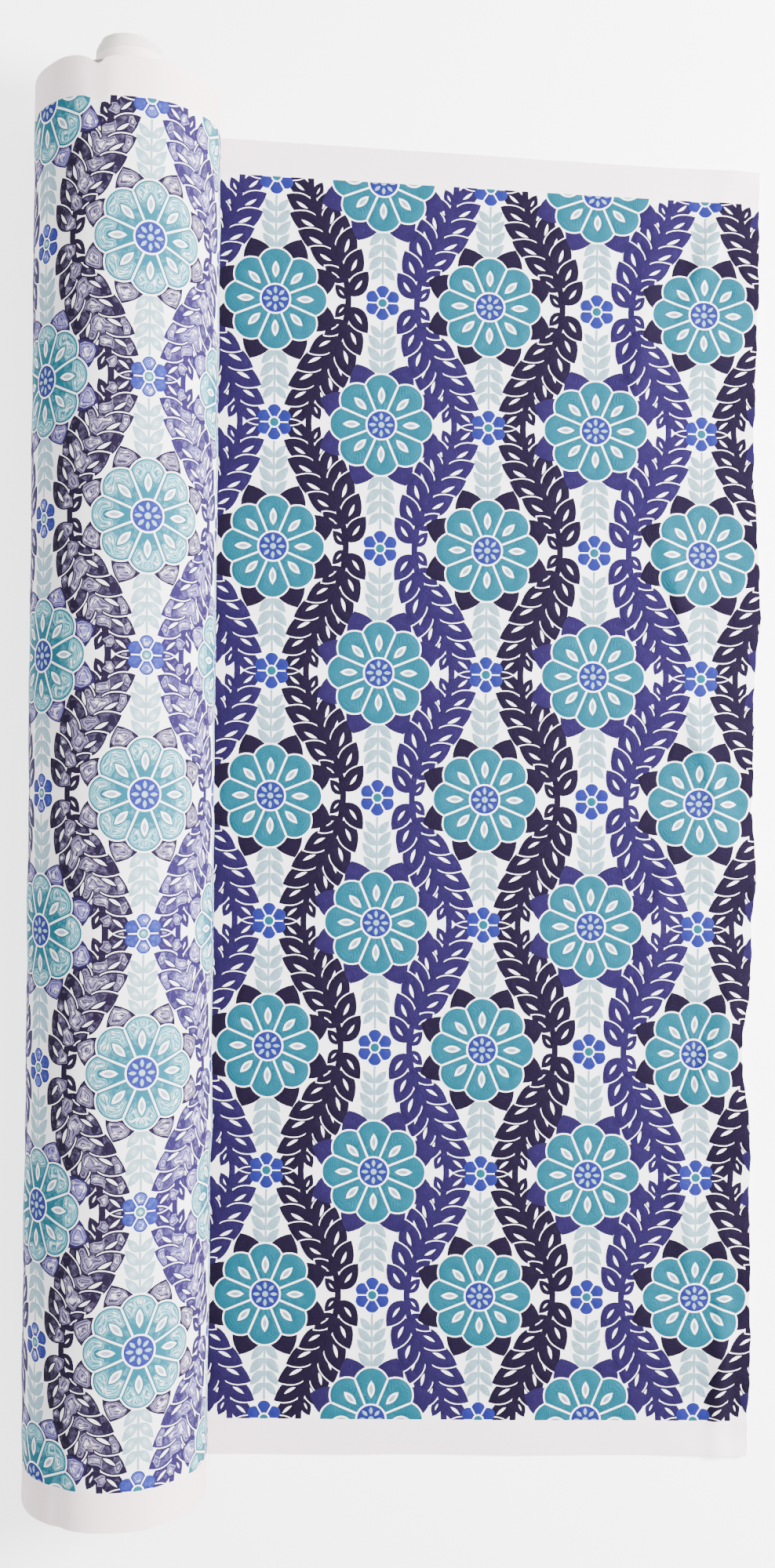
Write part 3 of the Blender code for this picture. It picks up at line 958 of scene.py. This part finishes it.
# ---------------------------------------------------- the turns underneath
def spiral(name, r0, r1, turns, y_low, y_high, seed, count=96, groove=0.0032, ragged=0.0012, rings=(), lag=0.0,
           shaded=(0, 2)):
    """Wound cloth seen from its ends: one spiral strip of edges, the grooves between them, and its walls.

    lag is how much less the outermost of these turns has slipped along +Y than the innermost.
    """
    pitch = (r1 - r0) / (turns + 1)
    total = turns * count
    ends = []
    for y_end, sign in ((y_low, -1), (y_high, 1)):
        verts = []
        for k in range(total + count + 1):
            a = 2 * math.pi * k / count
            r = r0 + pitch * k / count
            rag = ragged * (noise(np.array([k * 0.9]), np.array([0.0]), seed + (sign > 0), 160, 3)[0])
            rag += 0.5 * ragged * math.sin(k / count * 1.7 + seed)
            behind = lag * ((r - r0) / (r1 - r0)) ** 1.3 * (1 + 0.22 * math.sin(a + 0.7))
            for part, back in ((0.0, groove), (0.22, 0.0), (0.78, 0.0)):
                rr = r + pitch * part
                y = y_end - sign * (back + 0.0016 + (rag if back == 0 else 0.0)) - behind
                verts.append((-rr * math.sin(a), y, AXIS - rr * math.cos(a)))
        ends.append(np.array(verts))
    tris, kinds = [], []
    for k in range(total):
        here, there = 3 * k, 3 * (k + 1)
        up, upper = 3 * (k + count), 3 * (k + count + 1)
        a = [here, here + 1, here + 2, up]
        b = [there, there + 1, there + 2, upper]
        for i in range(3):
            tris += [(a[i], a[i + 1], b[i + 1]), (a[i], b[i + 1], b[i])]
            # the bands listed in shaded take material 2, the painted groove shade
            kinds += [2 if i in shaded else 0] * 2
    tris = np.array(tris)
    used = np.unique(tris)
    place = np.full(len(ends[0]), -1)
    place[used] = np.arange(len(used))
    tris = place[tris]
    low, high = ends[0][used], ends[1][used]
    n = len(used)
    # seen along -Y the strip runs one way round; keep whichever faces outwards
    a, b, c = low[tris[:, 0]], low[tris[:, 1]], low[tris[:, 2]]
    facing = np.cross(b - a, c - a)[:, 1].sum()
    if facing > 0:
        tris = tris[:, ::-1]
    rim = open_edges(tris)
    border = np.unique(rim)
    at = {int(v): q for q, v in enumerate(border)}
    verts = [low, high]
    offset = 2 * n
    levels = [[int(v) for v in border]]
    for s in rings:
        m = low[border] + (high[border] - low[border]) * s
        ang = np.arctan2(m[:, 0], m[:, 2] - AXIS)
        bulge = 0.0003 * noise(ang * 20, m[:, 1] * 1000, seed + 5, 60, 2)
        m[:, 0] += bulge * np.sin(ang)
        m[:, 2] += bulge * np.cos(ang)
        verts.append(m)
        levels.append([offset + i for i in range(len(border))])
        offset += len(border)
    levels.append([n + int(v) for v in border])
    faces = tris.tolist() + (tris[:, ::-1] + n).tolist()
    indices = kinds + kinds
    for a_, b_ in rim.tolist():
        for p, q in zip(levels, levels[1:]):
            faces.append((q[at[a_]], q[at[b_]], p[at[b_]], p[at[a_]]))
            indices.append(1)
    points = np.concatenate(verts)
    ang = np.arctan2(points[:, 0], points[:, 2] - AXIS)
    rr = np.hypot(points[:, 0], points[:, 2] - AXIS)
    cloth = np.stack([ang * rr * 1000, points[:, 1] * 1000, np.full(len(points), 6.0)], 1)
    return make(name, points, faces, indices, [EDGE, BACK[0], GROOVE_PAINTED_SHADE], cloth, 50)


for name, r0, r1, turns, seed in (("wound_turns_inner", 0.0345, 0.05085, 9, 51), ("wound_turns_middle", 0.0509, 0.06785, 10, 61),
                                  ("wound_turns_outer", 0.0679, 0.0861, 11, 71)):
    piece = spiral(name.replace("wound", "cloth_wound"), r0, r1, turns, -HALF, HALF, seed)
    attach(piece, "roll")
    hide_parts(name)

slipped = spiral("cloth_telescoped_turns", 0.0260, 0.0339, 4, -HALF + CORE_SHIFT, HALF + CORE_SHIFT, 81,
                 rings=tuple(0.02 * k for k in range(1, 4)) + tuple(0.1 * k for k in range(1, 10))
                 + tuple(0.94 + 0.012 * k for k in range(5)), ragged=0.0024, lag=0.013, shaded=(0,))
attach(slipped, "core")
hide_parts("telescoped_inner_turns")

for name in ("cardboard_tube", "start_tape_1", "start_tape_2", "start_tape_3"):
    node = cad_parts[name]
    node.material_slots[0].material = CARD if name == "cardboard_tube" else TAPE


# ------------------------------------------------- floor, lights and camera
def plain(name, colour, rough):
    n = Nodes(name)
    geo = n.tree.nodes.new("ShaderNodeNewGeometry")
    fine = n.noise(geo.outputs["Position"], 35.0, 2)
    c = n.mix(n.ramp(fine, 0.3, 0.7), shade(colour, 0.995), shade(colour, 1.0))
    n.put(n.bsdf.inputs["Base Color"], c)
    n.bsdf.inputs["Roughness"].default_value = rough
    n.bsdf.inputs["Specular IOR Level"].default_value = 0.1
    n.bsdf.inputs["Emission Color"].default_value = (1.0, 1.0, 1.0, 1.0)
    n.bsdf.inputs["Emission Strength"].default_value = 1.7
    return n.mat


floor_mesh = bpy.data.meshes.new("floor")
floor_mesh.from_pydata([(-8, -8, -0.0004), (8, -8, -0.0004), (8, 8, -0.0004), (-8, 8, -0.0004)], [], [(0, 1, 2, 3)])
floor_mesh.materials.append(plain("pale_floor", srgb(250, 249, 249), 0.9))
floor = bpy.data.objects.new("floor", floor_mesh)
bpy.context.scene.collection.objects.link(floor)

world = bpy.context.scene.world or bpy.data.worlds.new("studio")
bpy.context.scene.world = world
world.use_nodes = True
background = world.node_tree.nodes.get("Background")
background.inputs[0].default_value = (0.97, 0.98, 1.0, 1.0)
background.inputs[1].default_value = 0.85


def lamp(name, place, aim, size, power, colour=(1, 1, 1)):
    light = bpy.data.lights.new(name, "AREA")
    light.shape = "RECTANGLE"
    light.size, light.size_y = size
    light.energy = power
    light.color = colour
    obj = bpy.data.objects.new(name, light)
    obj.location = place
    obj.rotation_euler = (Vector(aim) - Vector(place)).to_track_quat("-Z", "Y").to_euler()
    bpy.context.scene.collection.objects.link(obj)


lamp("key", (2.1, 0.45, 1.25), (0.4, 0, 0), (0.8, 1.1), 345, (1.0, 0.985, 0.97))
lamp("fill", (0.2, 0.1, 3.2), (0.2, 0, 0), (2.4, 2.4), 105)

camera = bpy.data.cameras.new("camera")
camera.sensor_fit = "VERTICAL"
camera.sensor_height = 36.0
camera.sensor_width = 36.0
camera.lens = 36.45
camera.clip_start = 0.05
view = bpy.data.objects.new("camera", camera)
view.location = (0.261, 0.012, 1.650)
view.rotation_euler = (0.0, 0.0, math.radians(0.6))
bpy.context.scene.collection.objects.link(view)
bpy.context.scene.camera = view
